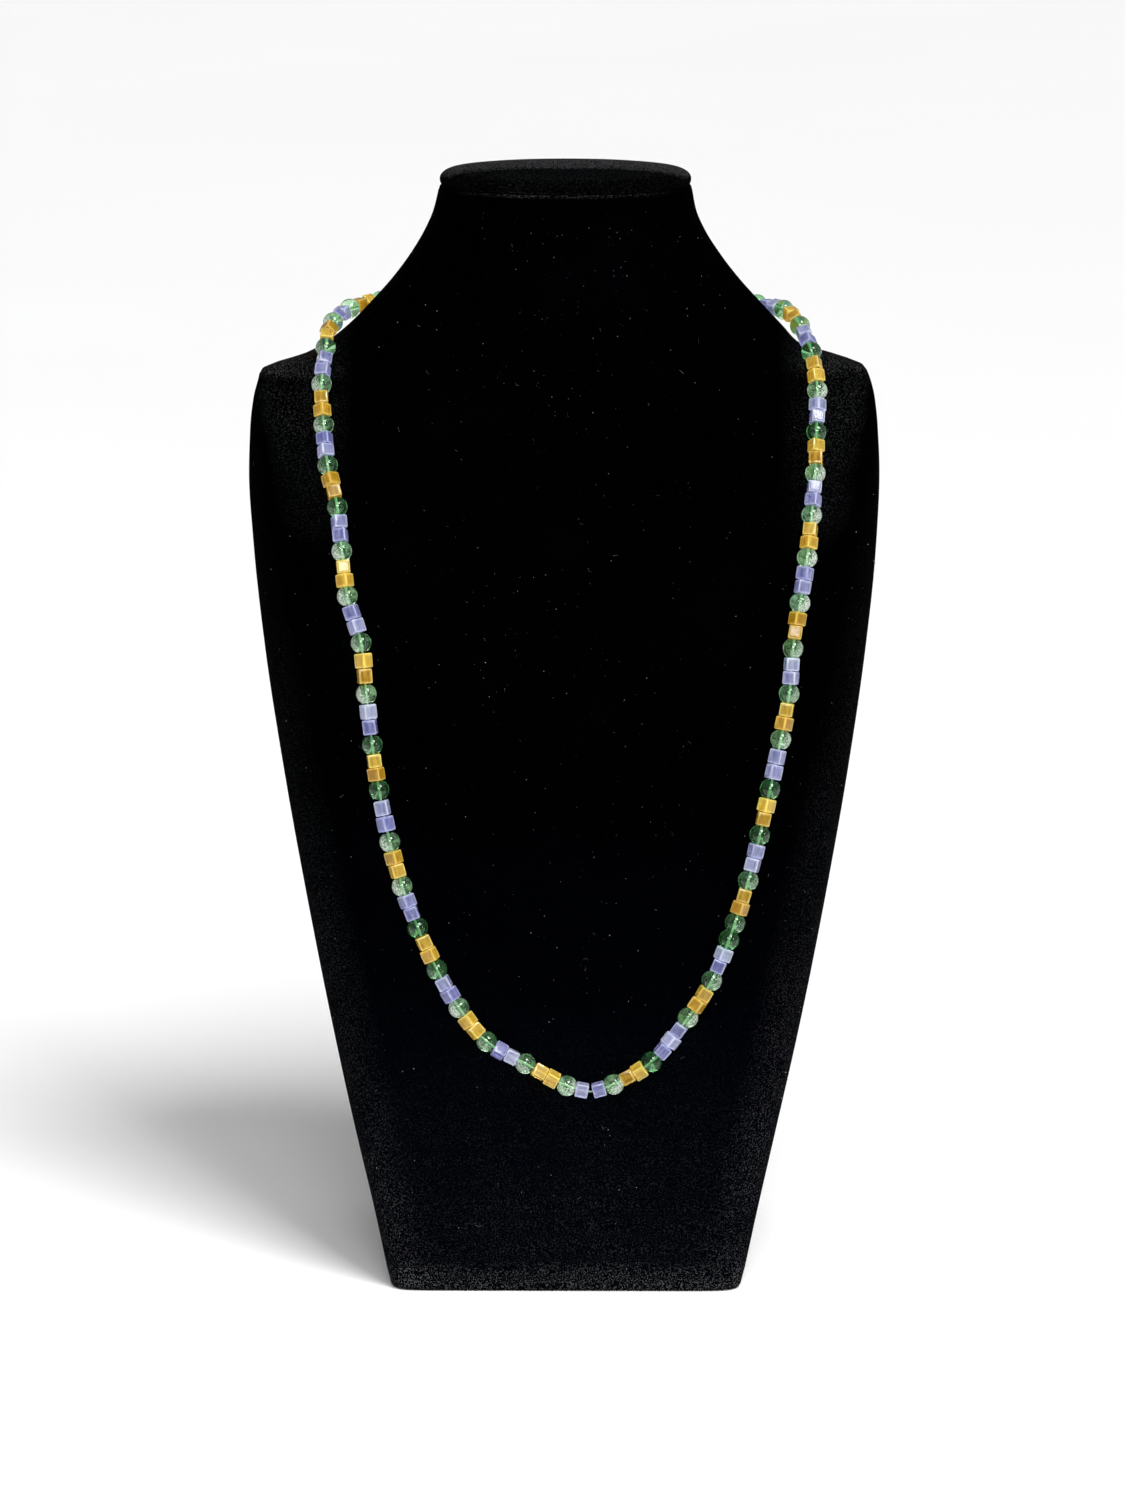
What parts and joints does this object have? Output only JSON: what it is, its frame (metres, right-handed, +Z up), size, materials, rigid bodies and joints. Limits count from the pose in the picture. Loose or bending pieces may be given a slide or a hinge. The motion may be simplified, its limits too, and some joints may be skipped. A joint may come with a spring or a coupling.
{
  "type": "beaded necklace on a neck bust",
  "caption": "Long single-strand necklace of round and cube glass beads, hung on a plain black velvet neck bust that stands on its flat base.",
  "frame": {"origin": "middle of the flat base that the bust stands on", "axes": "+Z up, the bust's front faces -Y, +X to the right of a viewer in front"},
  "size_m": [0.1859, 0.1125, 0.3204],
  "materials": {
    "velvet": "short black velvet pile",
    "bead_glass": "polished translucent glass",
    "clasp_metal": "polished silver-coloured metal"
  },
  "bodies": {
    "root": {"neck_bust": "velvet", "neck_cap": "velvet", "bead_string_left": "bead_glass", "bead_string_right": "bead_glass", "clasp": "clasp_metal"}
  },
  "joints": []
}
